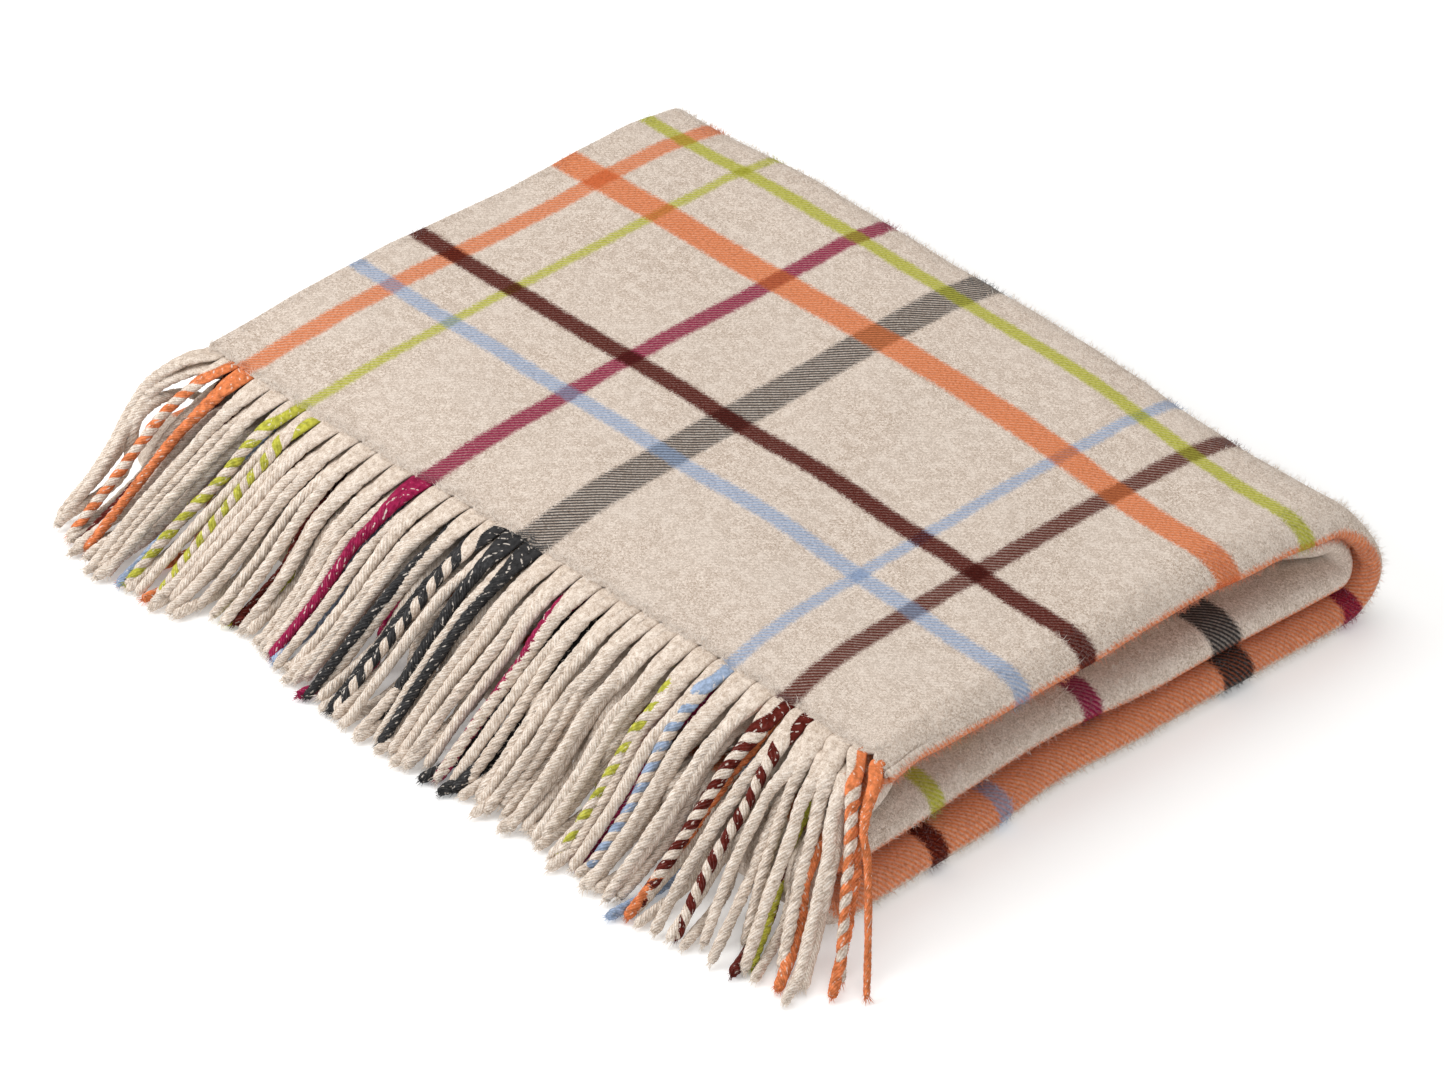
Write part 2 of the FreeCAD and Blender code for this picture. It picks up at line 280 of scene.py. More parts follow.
def slit_dip(s):
    """How far in from each end of the cloth its edge dips between one tassel and the next, in row s."""
    side = np.minimum(W_GRID, THROW[0] - W_GRID) / TASSEL_PITCH
    # the tassels of the top and third rows start half a pitch from the selvedge, the others a whole one
    half_start = (W_GRID < FOLD_W) if s < 1 else (W_GRID > FOLD_W)
    between = np.abs(np.mod(side + np.where(half_start, 0.5, 0.0), 1.0) - 0.5) * 2
    slit = SLITS[np.round(side + np.where(half_start, 0.0, 0.5)).astype(int)]
    from_end = min(s, S_END - s)
    return slit * (1 - between) ** 1.5 * smooth(1 - from_end / SLIT_REACH)


def cloth_middle():
    """The middle surface of the cloth as a grid, rows along the length."""
    y0, z0, ty, tz = lap_path(S_GRID)
    rows = []
    for i, s in enumerate(S_GRID):
        x, n = hairpin(W_GRID, s)
        x, y, z = settle(x, y0[i] - tz[i] * n, z0[i] + ty[i] * n, W_GRID, np.full_like(W_GRID, s))
        rows.append(np.stack((x, y + slit_dip(s), z), axis=1))
    return np.array(rows)


def grid_normals(points):
    return unit(np.cross(np.gradient(points, axis=1), np.gradient(points, axis=0)))


# ---- the stripes
COLOURS = {    # the yarns, linear
    "orange": (0.68, 0.205, 0.075),
    "lime": (0.46, 0.455, 0.060),
    "magenta": (0.290, 0.012, 0.066),
    "charcoal": (0.034, 0.034, 0.036),
    "blue": (0.31, 0.40, 0.56),
    "brown": (0.100, 0.0115, 0.0070),
}
OATMEAL = (0.84, 0.745, 0.65)    # the undyed fibres
# how much of the dyed yarn shows in a stripe, where it is on top of the weave and where it is underneath
COVER = {
    "warp": {"orange": (0.97, 0.66), "lime": (0.97, 0.62), "magenta": (0.98, 0.74), "charcoal": (0.95, 0.30),
             "blue": (0.90, 0.50), "brown": (0.98, 0.66)},
    "weft": {"orange": (1.00, 0.80), "lime": (1.00, 0.78), "magenta": (1.00, 0.84), "charcoal": (1.00, 0.72),
             "blue": (0.92, 0.58), "brown": (1.00, 0.90)},
}
WARP = (    # colour, middle and width across the cloth
    ("orange", 0.042, 0.016), ("lime", 0.106, 0.009), ("magenta", 0.230, 0.015),
    ("charcoal", 0.333, 0.028), ("blue", 0.522, 0.010), ("brown", 0.575, 0.015),
    ("orange", 0.6975, 0.035), ("orange", 0.789, 0.016), ("lime", 0.853, 0.009),
    ("magenta", 0.967, 0.015), ("charcoal", 1.065, 0.028), ("blue", 1.255, 0.010),
    ("brown", 1.305, 0.015),
)
WEFT = (    # colour, middle and width along the cloth
    ("blue", 0.138, 0.013), ("brown", 0.196, 0.015), ("orange", 0.331, 0.023),
    ("lime", 0.409, 0.013), ("magenta", 0.549, 0.020), ("charcoal", 0.664, 0.028),
    ("blue", 0.879, 0.013), ("brown", 0.940, 0.015), ("orange", 1.075, 0.023),
    ("lime", 1.153, 0.013), ("magenta", 1.296, 0.015), ("charcoal", 1.413, 0.028),
    ("blue", 1.620, 0.013), ("brown", 1.680, 0.015), ("orange", 1.815, 0.023),
    ("lime", 1.893, 0.013),
)


def nearest_stripe(place, stripes, covers):
    """For each place: distance from the middle of the nearest stripe, its half width, colour and cover."""
    middles = np.array([stripe[1] for stripe in stripes])
    halves = np.array([stripe[2] / 2 for stripe in stripes])
    colours = np.array([COLOURS[stripe[0]] for stripe in stripes])
    cover = np.array([(*covers[stripe[0]], 0.0) for stripe in stripes])
    gap = np.abs(place[:, None] - middles[None, :]) - halves[None, :]
    which = np.argmin(gap, axis=1)
    return place - middles[which], halves[which], colours[which], cover[which]


def put(mesh, name, values):
    """A named vector attribute of the mesh's points."""
    layer = mesh.attributes.new(name, "FLOAT_VECTOR", "POINT")
    layer.data.foreach_set("vector", np.ascontiguousarray(values, dtype=np.float32).ravel())


def mesh_object(name, points, faces, material):
    mesh = bpy.data.meshes.new(name)
    mesh.from_pydata(points.tolist(), [], faces)
    mesh.update()
    mesh.polygons.foreach_set("use_smooth", [True] * len(mesh.polygons))
    mesh.materials.append(material)
    obj = bpy.data.objects.new(name, mesh)
    bpy.context.scene.collection.objects.link(obj)
    return obj


def round_cloth(grid):
    """Each row of a grid once round the cloth: one selvedge, one face, the other selvedge, the other face."""
    return np.concatenate((grid[:, :1], grid, grid[:, -1:], grid[:, ::-1]), axis=1)


def end_strips(loop, rim, columns):
    """Quads from the two faces at one end of the cloth to the rounded rim between them."""
    upper = loop[1:columns + 1]
    lower = loop[columns + 2:][::-1]
    left, right = loop[0], loop[columns + 1]
    return np.concatenate((
        np.stack((upper[:-1], rim[:-1], rim[1:], upper[1:]), axis=1),
        np.stack((lower[:-1], rim[:-1], rim[1:], lower[1:]), axis=1)[:, ::-1],
        np.array([[left, lower[0], rim[0], upper[0]]]),
        np.array([[right, upper[-1], rim[-1], lower[-1]]]),
    ))


def cloth_mesh(material):
    """The cloth as one closed skin, and its middle surface."""
    middle = cloth_middle()
    normal = grid_normals(middle)
    rows, columns = middle.shape[:2]
    left_rim = middle[:, 0] + unit(middle[:, 0] - middle[:, 1]) * RIM
    right_rim = middle[:, -1] + unit(middle[:, -1] - middle[:, -2]) * RIM
    loops = np.concatenate((
        left_rim[:, None],
        middle + normal * THICK / 2,
        right_rim[:, None],
        (middle - normal * THICK / 2)[:, ::-1],
    ), axis=1)
    edge, face = np.zeros((rows, 1)), np.ones((rows, columns))
    index = np.arange(rows * loops.shape[1]).reshape(rows, -1)
    beside = np.roll(index, -1, axis=1)
    points = [loops.reshape(-1, 3)]
    w = [round_cloth(np.tile(W_GRID, (rows, 1))).ravel()]
    s = [round_cloth(np.tile(S_GRID[:, None], (1, columns))).ravel()]
    side = [np.concatenate((edge, face, edge, -face), axis=1).ravel()]
    quads = [np.stack((index[:-1], beside[:-1], beside[1:], index[1:]), axis=-1).reshape(-1, 4)]
    # each end is closed with strips to a rounded middle row
    base = index.size
    for row, ahead in ((0, 1), (rows - 1, rows - 2)):
        points.append(middle[row] + unit(middle[row] - middle[ahead]) * RIM)
        w.append(W_GRID)
        s.append(np.full(columns, S_GRID[row]))
        side.append(np.zeros(columns))
        strips = end_strips(index[row], base + np.arange(columns), columns)
        quads.append(strips if row == 0 else strips[:, ::-1])
        base += columns
    obj = mesh_object("throw_cloth", np.concatenate(points), np.concatenate(quads).tolist(), material)
    w, s = np.concatenate(w), np.concatenate(s)
    put(obj.data, "cloth_place", np.stack((w, s, np.concatenate(side)), axis=1))
    for name, place, stripes in (("warp", w, WARP), ("weft", s, WEFT)):
        off, half, colour, cover = nearest_stripe(place, stripes, COVER[name])
        put(obj.data, name + "_stripe", np.stack((off, half, np.abs(off) - half), axis=1))
        put(obj.data, name + "_colour", colour)
        put(obj.data, name + "_cover", cover)
    return obj, middle


# ---- materials
class Nodes:
    """Short ways to add and link nodes of one material."""

    def __init__(self, name):
        self.material = bpy.data.materials.new(name)
        self.material.use_nodes = True
        self.tree = self.material.node_tree
        self.tree.nodes.clear()
        self.shader = self.add("ShaderNodeBsdfPrincipled")
        out = self.add("ShaderNodeOutputMaterial")
        self.link(self.shader.outputs[0], out.inputs[0])

    def add(self, kind, **settings):
        node = self.tree.nodes.new(kind)
        for key, value in settings.items():
            setattr(node, key, value)
        return node

    def link(self, a, b):
        self.tree.links.new(a, b)

    def feed(self, socket, value):
        if hasattr(value, "is_linked"):
            self.link(value, socket)
        else:
            socket.default_value = value

    def math(self, operation, a, b=0.0, clamp=False):
        node = self.add("ShaderNodeMath", operation=operation, use_clamp=clamp)
        self.feed(node.inputs[0], a)
        self.feed(node.inputs[1], b)
        return node.outputs[0]

    def plus(self, a, b):
        return self.math("ADD", a, b)

    def minus(self, a, b):
        return self.math("SUBTRACT", a, b)

    def times(self, a, b):
        return self.math("MULTIPLY", a, b)

    def mix(self, factor, a, b, mode="MIX"):
        node = self.add("ShaderNodeMix", data_type="RGBA", blend_type=mode)
        self.feed(node.inputs[0], factor)
        self.feed(node.inputs[6], a if hasattr(a, "is_linked") else (*a, 1))
        self.feed(node.inputs[7], b if hasattr(b, "is_linked") else (*b, 1))
        return node.outputs[2]

    def attribute(self, name):
        return self.add("ShaderNodeAttribute", attribute_name=name).outputs["Vector"]

    def place(self):
        return self.add("ShaderNodeTexCoord").outputs["Object"]

    def noise(self, where, scale, detail=2.0, roughness=0.5):
        node = self.add("ShaderNodeTexNoise")
        self.feed(node.inputs["Vector"], where)
        node.inputs["Scale"].default_value = scale
        node.inputs["Detail"].default_value = detail
        node.inputs["Roughness"].default_value = roughness
        return node.outputs["Fac"]

    def spread(self, value, low, high, to_low=0.0, to_high=1.0):
        node = self.add("ShaderNodeMapRange")
        self.feed(node.inputs[0], value)
        for socket, number in zip(list(node.inputs)[1:5], (low, high, to_low, to_high)):
            self.feed(socket, number)
        return node.outputs[0]

    def wander(self, where, scale, size, detail=2.0, roughness=0.5):
        """Noise about zero, of that size from end to end."""
        return self.times(self.minus(self.noise(where, scale, detail, roughness), 0.5), size)

    def split(self, value):
        node = self.add("ShaderNodeSeparateXYZ")
        self.link(value, node.inputs[0])
        return node.outputs

    def wool(self, colour):
        self.link(colour, self.shader.inputs["Base Color"])
        self.shader.inputs["Roughness"].default_value = 0.95
        self.shader.inputs["Specular IOR Level"].default_value = 0.03
        self.shader.inputs["Sheen Weight"].default_value = 0.03
        self.shader.inputs["Sheen Roughness"].default_value = 0.45
        self.shader.inputs["Sheen Tint"].default_value = (1.0, 0.95, 0.88, 1.0)

    def relief(self, height, strength):
        bump = self.add("ShaderNodeBump")
        bump.inputs["Strength"].default_value = strength
        bump.inputs["Distance"].default_value = 0.0009
        self.link(height, bump.inputs["Height"])
        self.link(bump.outputs[0], self.shader.inputs["Normal"])


YARN = 0.00103           # from one yarn to the next
TWILL = 4 * YARN         # a 2/2 twill repeats every four
STRIPE_REACH = 0.011     # past a stripe's edge by this much, none of its colour is left
PALE_FIBRE = (0.95, 0.88, 0.81)
FULL_TURN = 2 * math.pi


def cloth_ground(n, place, fleck, heather, rib):
    """A heather of pale, tan and brown fibres, a little uneven from place to place."""
    mottle = n.noise(place, 120.0, 3, 0.6)
    cloudy = n.noise(place, 16.0, 3, 0.55)
    ground = n.mix(n.spread(heather, 0.33, 0.67), (0.375, 0.280, 0.208), (0.780, 0.668, 0.578))
    ground = n.mix(n.spread(fleck, 0.50, 0.68, 0.0, 0.95), ground, PALE_FIBRE)
    ground = n.mix(n.spread(fleck, 0.48, 0.30, 0.0, 0.95), ground, (0.260, 0.165, 0.105))
    ground = n.mix(n.spread(mottle, 0.48, 0.68, 0.0, 0.50), ground, (0.80, 0.705, 0.62))
    ground = n.mix(n.spread(mottle, 0.52, 0.32, 0.0, 0.42), ground, (0.43, 0.340, 0.27))
    ground = n.mix(n.spread(cloudy, 0.35, 0.65, 0.0, 0.30), ground, (0.72, 0.635, 0.56))
    return n.mix(n.times(n.minus(1.0, rib), 0.10), ground, (0.36, 0.28, 0.21))


def stripe_mask(n, name, place, wave, up):
    """Where a stripe's dyed yarn shows, with ragged edges, and its colour. up is 1 where it is on top."""
    off, half, past = n.split(n.attribute(name + "_stripe"))
    colour = n.attribute(name + "_colour")
    above, below, _ = n.split(n.attribute(name + "_cover"))
    fine = n.wander(place, 800.0, 0.0080, 2, 0.7)
    broad = n.wander(place, 210.0, 0.0042, 2, 0.6)
    ragged = n.plus(n.plus(fine, broad), n.times(wave, 0.0004))
    inside = n.minus(half, n.math("ABSOLUTE", n.plus(off, ragged)))
    mask = n.times(n.spread(inside, -0.0018, 0.0016), n.math("LESS_THAN", past, STRIPE_REACH))
    share = n.spread(up, 0.0, 1.0, below, above)
    fuzz = n.spread(n.noise(place, 800.0, 3, 0.8), 0.30, 0.70, -0.14, 0.14)
    return n.math("MULTIPLY", mask, n.plus(share, fuzz), clamp=True), colour


def cloth_material():
    n = Nodes("woven_wool")
    place = n.attribute("cloth_place")
    w, s, _ = n.split(place)
    # the yarns wander a little
    twill = n.math("DIVIDE", n.plus(n.minus(w, s), n.wander(place, 38.0, 0.0016)), TWILL)
    turned = n.times(twill, FULL_TURN)
    wave = n.math("SINE", turned)
    rib = n.spread(wave, -0.45, 0.45)                 # 1 where the warp is on top
    fleck = n.noise(place, 1000.0, 3, 0.75)
    heather = n.noise(place, 480.0, 3, 0.65)
    base = cloth_ground(n, place, fleck, heather, rib)
    warp_mask, warp_colour = stripe_mask(n, "warp", place, wave, rib)
    weft_mask, weft_colour = stripe_mask(n, "weft", place, wave, n.minus(1.0, rib))
    base = n.mix(warp_mask, base, warp_colour)
    base = n.mix(weft_mask, base, weft_colour)
    base = n.mix(n.times(n.times(warp_mask, weft_mask), 0.60), base, warp_colour, "MULTIPLY")
    # dyed yarn is a mixture too: lighter and darker fibres of its colour
    either = n.math("MAXIMUM", warp_mask, weft_mask)
    pale = n.times(either, n.spread(fleck, 0.60, 0.78, 0.0, 0.13))
    base = n.mix(pale, base, (0.80, 0.72, 0.64))
    deep = n.times(either, n.spread(heather, 0.54, 0.34, 0.0, 0.55))
    base = n.mix(deep, base, (0.45, 0.40, 0.38), "MULTIPLY")
    # painted shade: the grooves between the ribs are darkened into lines, most of all in dark stripes
    between = n.math("SINE", n.plus(turned, 1.2))
    lines = [n.times(mask, n.spread(n.split(colour)[1], 0.05, 0.18, 0.56, 0.08))
             for mask, colour in ((warp_mask, warp_colour), (weft_mask, weft_colour))]
    groove_shade = n.times(n.spread(between, -0.1, -0.9), n.plus(n.math("MAXIMUM", *lines), 0.06))
    n.wool(n.mix(groove_shade, base, (0.42, 0.36, 0.33), "MULTIPLY"))
    nap_height = n.times(n.noise(place, 1300.0, 3, 0.7), 0.55)
    tufts = n.times(n.noise(place, 330.0, 3, 0.6), 0.65)
    n.relief(n.plus(n.plus(nap_height, tufts), n.times(rib, 0.16)), 0.55)
    return n.material


STRAND_PITCH = 0.0034    # along a ply, from one single yarn to the next
STRANDS = 8.0            # that lie side by side round it
DASH_PITCH = 0.0062      # the same for the pale yarns among dyed ones
DASHES = 3.0


def dyed_yarn(n, colour, where, heather, along, turn, wobble):
    """Darker and lighter fibres of the colour, with a pale yarn twisted in that shows as dashes."""
    dark = tuple(0.72 * part for part in colour)
    light = tuple(min(1.0, 1.35 * part + 0.008) for part in colour)
    dyed = n.mix(n.spread(heather, 0.34, 0.66), dark, light)
    slant = n.plus(n.times(turn, DASHES), n.times(wobble, 0.5))
    thread = n.math("SINE", n.plus(n.times(along, FULL_TURN / DASH_PITCH), slant))
    broken = n.spread(n.noise(where, 330.0), 0.52, 0.58, 0.0, 0.75)
    return n.mix(n.times(n.spread(thread, 0.80, 0.96), broken), dyed, (0.82, 0.75, 0.68))


def yarn_material(name, colour):
    """Plied yarn. yarn_place holds the length along and the cosine and sine of the turn round the ply,
    and yarn_dye the share of the colour and a number that differs from ply to ply."""
    n = Nodes("yarn_" + name)
    along, cosine, sine = n.split(n.attribute("yarn_place"))
    share, chance, _ = n.split(n.attribute("yarn_dye"))
    where = n.place()
    turn = n.math("ARCTAN2", sine, cosine)
    wobble = n.times(n.noise(where, 120.0), 5.0)
    twist = n.plus(n.times(along, FULL_TURN / STRAND_PITCH), n.times(turn, STRANDS))
    strand = n.math("SINE", n.plus(twist, wobble))
    fleck = n.noise(where, 1000.0, 3, 0.7)
    heather = n.noise(where, 260.0, 3, 0.6)
    ground = n.mix(n.spread(heather, 0.34, 0.66), (0.570, 0.465, 0.378), (0.880, 0.780, 0.685))
    ground = n.mix(n.spread(fleck, 0.52, 0.70, 0.0, 0.85), ground, PALE_FIBRE)
    ground = n.mix(n.spread(fleck, 0.46, 0.30, 0.0, 0.80), ground, (0.320, 0.220, 0.150))
    # single yarns lie across the ply: a painted highlight on each one's ridge and painted shade in its groove
    spun = n.spread(along, 0.010, 0.050)
    broken = n.spread(n.noise(where, 420.0), 0.42, 0.60)
    ridge_highlight = n.times(n.times(n.spread(strand, 0.45, 1.0, 0.0, 0.50), broken), spun)
    if colour:
        ground = n.mix(share, ground, dyed_yarn(n, colour, where, heather, along, turn, wobble))
        ridge_highlight = n.times(ridge_highlight, n.spread(share, 0.0, 1.0, 1.0, 0.12))
    ground = n.mix(ridge_highlight, ground, (1.0, 0.96, 0.90))
    shaded = n.times(n.spread(strand, -1.0, -0.1, 0.48, 0.0), spun)
    ground = n.mix(shaded, ground, (0.60, 0.50, 0.41), "MULTIPLY")
    ground = n.mix(n.times(chance, 0.14), ground, (0.80, 0.71, 0.62), "MULTIPLY")
    # painted shade: the yarn is darkened towards the root, where the tassel leaves the cloth
    n.wool(n.mix(n.spread(along, 0.006, 0.040, 1.0, 0.0), ground, (0.90, 0.875, 0.85), "MULTIPLY"))
    nap_height = n.times(n.noise(where, 1300.0, 3, 0.7), 0.5)
    n.relief(n.plus(nap_height, n.times(n.times(strand, spun), 0.34)), 0.6)
    return n.material


def nap_material():
    n = Nodes("loose_fibres")
    n.wool(n.attribute("nap_colour"))
    return n.material


def floor_material():
    n = Nodes("pale_floor")
    colour = n.mix(n.noise(n.place(), 3.0), (0.90, 0.90, 0.895), (0.93, 0.93, 0.925))
    n.link(colour, n.shader.inputs["Base Color"])
    n.shader.inputs["Roughness"].default_value = 0.9
    n.shader.inputs["Specular IOR Level"].default_value = 0.1
    n.shader.inputs["Emission Color"].default_value = (1.0, 1.0, 1.0, 1.0)
    n.shader.inputs["Emission Strength"].default_value = 0.20
    return n.material


# ---- the fringe
# count: how many tassels; phase: how many pitches the first is from the selvedge
# end: which end of the cloth; ply: which ply, from the -X selvedge (0) or the other (1)
# fan: how much the tassels at the fold turn outwards
# between: how far sideways its plain tassels lie, in the gaps of the row above
# beneath: how far sideways and down its dyed tassels lie, under the row above
# drape: reach from the fringed edge, and height above ROOT_Z
# dyed: for each colour, the tassels that have it and in how many of their two plies
ROWS = {
    "top": dict(
        count=37, phase=0.5, end=0, ply=0, fan=1.0, between=0.0, beneath=(0.0, 0.0),
        drape=((0.000, -0.0062), (0.011, -0.0092), (0.024, -0.0152), (0.040, -0.0248), (0.056, -0.0358),
               (0.091, -0.0638), (0.128, -0.0925)),
        dyed={"orange": {1: 1, 2: 2, 35: 1, 36: 2}, "lime": {5: 1, 6: 1}, "magenta": {12: 2},
              "charcoal": {16: 1, 17: 2, 18: 2}, "blue": {28: 1}, "brown": {31: 1, 32: 1}},
    ),
    "second": dict(
        count=36, phase=1.0, end=0, ply=1, fan=0.85, between=-0.0025, beneath=(0.002, 0.008),
        drape=((0.000, -0.0106), (0.011, -0.0132), (0.024, -0.0186), (0.040, -0.0272), (0.056, -0.0376),
               (0.091, -0.0652), (0.128, -0.0935)),
        dyed={"brown": {1: 2, 2: 2}, "blue": {4: 2}, "charcoal": {14: 2, 15: 2}, "magenta": {20: 2},
              "lime": {26: 1}, "orange": {30: 2, 35: 2}},
    ),
    "third": dict(
        count=37, phase=0.5, end=1, ply=1, fan=0.75, between=0.0046, beneath=(0.0, 0.003),
        drape=((0.000, -0.0220), (0.024, -0.0275), (0.052, -0.0430), (0.080, -0.0700), (0.128, -0.0930)),
        dyed={"brown": {9: 2}, "blue": {12: 2}, "charcoal": {21: 2, 22: 2}, "magenta": {28: 2},
              "lime": {34: 2}, "orange": {36: 2}},
    ),
    "lowest": dict(
        count=36, phase=1.0, end=1, ply=0, fan=0.55, between=0.0046, beneath=(0.010, 0.010),
        drape=((0.000, -0.0443), (0.030, -0.0441), (0.062, -0.0513), (0.081, -0.0853), (0.132, -0.0938)),
        dyed={"orange": {4: 2, 5: 2}, "lime": {8: 2}, "magenta": {14: 2}, "charcoal": {20: 2, 21: 2},
              "blue": {30: 2}, "brown": {33: 2}},
    ),
}
# dyed tassels of the second row that lie open to view between the top ones
IN_VIEW = {("second", 14), ("second", 15), ("second", 20), ("second", 26)}
# tassels that lie in a place of their own: how far sideways and down
TUCK = {("top", 36): (-0.011, 0.004), ("second", 0): (-0.006, 0.000), ("second", 34): (-0.004, 0.004),
        ("second", 35): (-0.010, 0.015), ("third", 0): (-0.002, -0.006), ("third", 34): (-0.006, 0.010),
        ("third", 36): (-0.026, 0.012), ("lowest", 0): (-0.004, -0.006)}
# tassels that stand out in a loose bow: how far sideways and up
LOOSE = {("top", 0): (-0.0065, 0.010), ("top", 1): (-0.002, 0.002), ("second", 0): (-0.007, 0.008),
         ("third", 0): (-0.006, 0.013), ("lowest", 0): (-0.004, 0.012)}
HALF_TASSEL = ("top", 36)        # the one at the fold has half the yarns
# how far in front of the fringed edge the tips end, along the edge
TIPS = ((0.00, 0.121), (0.072, 0.142), (0.132, 0.137), (0.195, 0.113), (0.266, 0.125), (0.335, 0.130),
        (0.480, 0.121), (0.590, 0.129), (0.640, 0.122), (0.675, 0.126))
DRAPE_REACH = 0.128      # the reach that the drapes are drawn for
ROOT_Z = 0.0979          # the drapes are measured down from here
FLOOR_GAP = 0.0043       # the lowest a tassel's middle line comes
ROOT_IN = 0.0045         # how far inside the cloth a tassel starts
LEFT_HEADING = -6        # degrees that the tassels turn towards +X at the selvedge
RIGHT_HEADING = 5        # and at the fold
FAN_HEADING = 48         # what the fan at the fold adds to it
STATION = 0.0018         # from one ring of points of a tassel to the next


def curve_through(keys, step):
    """Points every step along a smooth curve through the keys."""
    keys = np.array(keys, dtype=float)
    ahead = np.concatenate(([2 * keys[0] - keys[1]], keys, [2 * keys[-1] - keys[-2]]))
    t = np.linspace(0, 1, 24, endpoint=False)[:, None]
    out = []
    for a, b, c, d in zip(ahead[:-3], ahead[1:-2], ahead[2:-1], ahead[3:]):
        out.append(0.5 * (2 * b + (c - a) * t + (2 * a - 5 * b + 4 * c - d) * t ** 2
                          + (3 * b - a - 3 * c + d) * t ** 3))
    out = np.concatenate(out + [keys[-1:]])
    length = lengths_along(out)
    places = np.linspace(0, length[-1], max(2, int(length[-1] / step)))
    return np.stack([np.interp(places, length, out[:, k]) for k in range(3)], axis=1), places


def root_of(row, index, grid):
    """Where a tassel leaves the cloth, on the cloth's own edge, and that place as a share of the width."""
    spec = ROWS[row]
    side = (index + spec["phase"]) * TASSEL_PITCH
    w = THROW[0] - side if spec["ply"] else side
    edge = grid[-1] if spec["end"] else grid[0]
    return np.array([np.interp(w, W_GRID, edge[:, k]) for k in range(3)]), side / FOLD_W


def place_of_its_own(row, index, plies):
    """How far sideways and down a tassel lies from its row's drape."""
    spec = ROWS[row]
    usual = (spec["between"], 0.0) if plies == 0 else spec["beneath"]
    if (row, index) in IN_VIEW:
        usual = (0.0, 0.0)
    return TUCK.get((row, index), usual)


def tassel_line(row, index, plies, grid, r):
    """The middle line of one tassel, from just inside the cloth to its tip."""
    spec = ROWS[row]
    root, share = root_of(row, index, grid)
    place = root[0] - SELVEDGE_X
    fan = float(smooth((share - 0.82) / 0.19)) ** 1.2
    swing = (3.2 * ripple(place, 0.0, 21 + spec["end"], 0.16, 5)
             + 1.6 * ripple(place, 0.0, 31 + spec["end"], 0.055, 5))
    degrees = LEFT_HEADING + (RIGHT_HEADING - LEFT_HEADING) * share + FAN_HEADING * spec["fan"] * fan
    heading = math.radians(degrees + swing * (1 - 0.5 * fan) + r.normal(0, 0.8))
    out = np.array((math.sin(heading), -math.cos(heading)))
    across = np.array((math.cos(heading), math.sin(heading)))
    longer = ease(np.array(place), TIPS) / DRAPE_REACH * (1 - 0.10 * spec["fan"] * fan)
    longer = longer * (1 + r.normal(0, 0.030))
    aside, under = place_of_its_own(row, index, plies)
    bow_out, bow_up = LOOSE.get((row, index), (0.0, 0.0))
    keys = [(root[0], root[1] + ROOT_IN, root[2] + 0.0001)]
    drift = 0.0
    for reach, fall in spec["drape"]:
        far = smooth(reach / 0.07)
        if reach > 0.03:
            drift += r.normal(0, 0.0007)
        bend = 0.0022 * far * ripple(place, reach * 1.5, 23, 0.085, 6) + drift + aside * smooth(reach / 0.045)
        bow = math.sin(math.pi * min(1.0, reach / 0.095))
        flat = root[:2] + out * reach * (1 + (longer - 1) * smooth(reach / 0.10))
        flat = flat + across * (bend + bow_out * bow)
        level = ROOT_Z + fall + r.normal(0, 0.0006) * far - under * smooth(reach / 0.03) + bow_up * bow
        if reach == 0:
            level = root[2]
        keys.append((flat[0], flat[1], max(level, FLOOR_GAP)))
    line, places = curve_through(keys, STATION)
    line[:, 2] = np.maximum(line[:, 2], FLOOR_GAP)
    return line, places


SIDES = 10                      # of each ply's skin
ROPE_THICK = 0.00450            # a ply's size at its root
ROPE_THINNER = 0.00065          # and how much of it is gone at the tip
ROPE_TURN = 0.0148              # along the tassel, for one turn of its plies
PLY_APART, PLY_WIDE, PLY_DEEP = 0.20, 0.77, 0.87    # from the middle, outwards and round, in ply sizes
ROPE_WIDE, ROPE_DEEP = 0.96, 0.88                   # about half of both together, in ply sizes
FINGER_WIDE = 0.00895           # half the width of the flat finger at the root
FINGER_DEEP = 0.00158           # and half its thickness
GATHER = 0.060                  # along the tassel, from flat finger to round rope
FIBRES, FRAYS = 110, 24         # loose fibres along each tassel, and at its tip


def rope_sizes(row, index, places, r):
    """How the two plies of one tassel change from its root to its tip."""
    total = places[-1]
    gather = smooth(places / (GATHER * r.uniform(0.80, 1.20)))
    hand = 1 if r.random() < 0.7 else -1
    turn = ROPE_TURN * r.uniform(0.9, 1.12)
    turned = np.cumsum(smooth((places - 0.010) / 0.030)) * (places[1] - places[0])
    thick = (ROPE_THICK - ROPE_THINNER * smooth(places / total)) * r.uniform(0.93, 1.07)
    if (row, index) == HALF_TASSEL:
        thick = thick * 0.66
    thick = thick * (1 + 0.05 * np.sin(places / 0.031 * 2 * math.pi + r.uniform(0, 6.3)))
    tip = 0.76 + 0.24 * smooth((total - places) / 0.003)
    finger = FINGER_WIDE * (1 - 0.50 * smooth((index / ROWS[row]["count"] - 0.90) / 0.08))
    return {
        "hand": hand,
        "twist": hand * 2 * math.pi / turn * turned,
        "apart": PLY_APART * thick,
        "wide": PLY_WIDE * thick * tip,
        "deep": PLY_DEEP * thick * tip,
        "flat_wide": 1 + (finger / (ROPE_WIDE * thick) - 1) * (1 - gather) ** 1.35,
        "flat_deep": 1 + (FINGER_DEEP / (ROPE_DEEP * thick) - 1) * (1 - smooth((places - 0.006) / GATHER)),
    }


